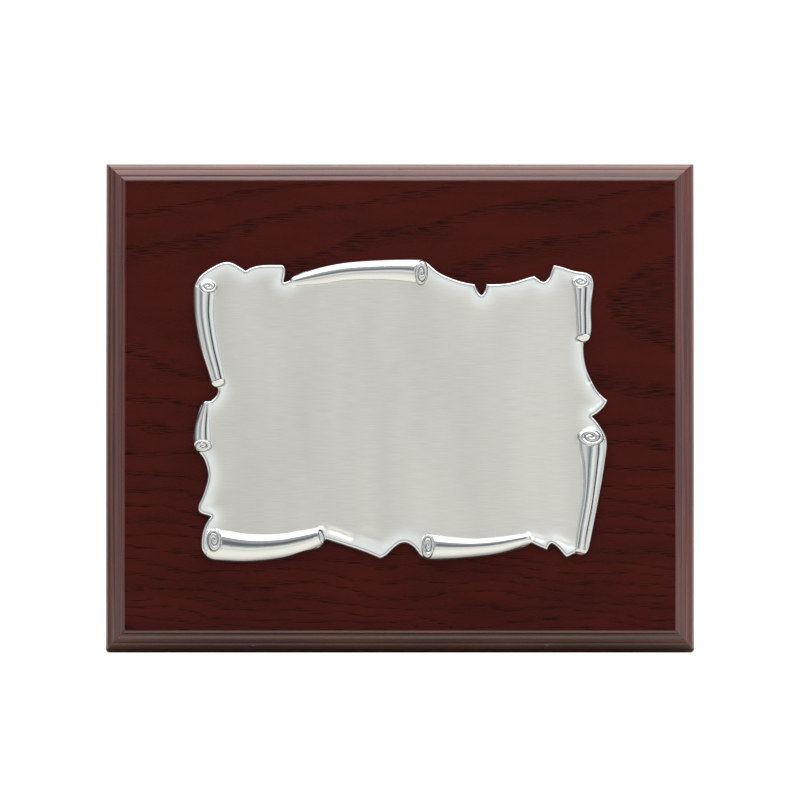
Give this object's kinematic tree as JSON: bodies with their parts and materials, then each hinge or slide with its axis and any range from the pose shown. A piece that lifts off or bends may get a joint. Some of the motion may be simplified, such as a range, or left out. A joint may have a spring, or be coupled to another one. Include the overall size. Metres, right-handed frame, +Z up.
{
  "type": "award plaque",
  "caption": "Rectangular lacquered wooden plaque with moulded edges, a pressed metal scroll plate, a keyhole hanger and a folding easel strut.",
  "frame": {"origin": "on the table under the middle of the standing plaque, the middle of its base outline", "axes": "+X to the viewer's right along the board's width, +Y from the front to the back, +Z up; the board leans back 10 degrees"},
  "size_m": [0.3, 0.08, 0.247],
  "materials": {
    "lacquered_veneer": "mahogany-stained open-grain veneer under clear gloss lacquer",
    "lacquered_moulding": "mahogany-stained moulding under clear gloss lacquer",
    "fibreboard": "sanded medium density fibreboard",
    "back_paper": "satin stained backing veneer",
    "plate_metal": "pressed plated sheet, brushed field and polished rim",
    "foam_tape": "closed cell foam tape",
    "zinc_plated_steel": "bright zinc plated stamped steel",
    "brass_plated_steel": "brass plated screws",
    "bumper_rubber": "black moulded rubber",
    "strut_board": "satin stained veneered board"
  },
  "bodies": {
    "board": {"core_panel": "fibreboard", "face_veneer": "lacquered_veneer", "back_veneer": "back_paper", "moulding_top": "lacquered_moulding", "moulding_bottom": "lacquered_moulding", "moulding_left": "lacquered_moulding", "moulding_right": "lacquered_moulding", "scroll_plate": "plate_metal", "plate_foam_pads": "foam_tape", "keyhole_hanger": "zinc_plated_steel", "hanger_screws": "zinc_plated_steel", "wall_bumpers": "bumper_rubber", "hinge_fixed_leaf": "zinc_plated_steel", "fixed_leaf_screws": "brass_plated_steel", "hinge_pin": "zinc_plated_steel"},
    "strut": {"easel_strut": "strut_board", "hinge_moving_leaf": "zinc_plated_steel", "moving_leaf_screws": "brass_plated_steel"}
  },
  "joints": [
    {"name": "strut_hinge", "type": "hinge", "parent": "board", "child": "strut", "pos_m": [0, 0.00502, 0.16208], "axis": [-1, 0, 0], "range_deg": [0, 20]}
  ]
}
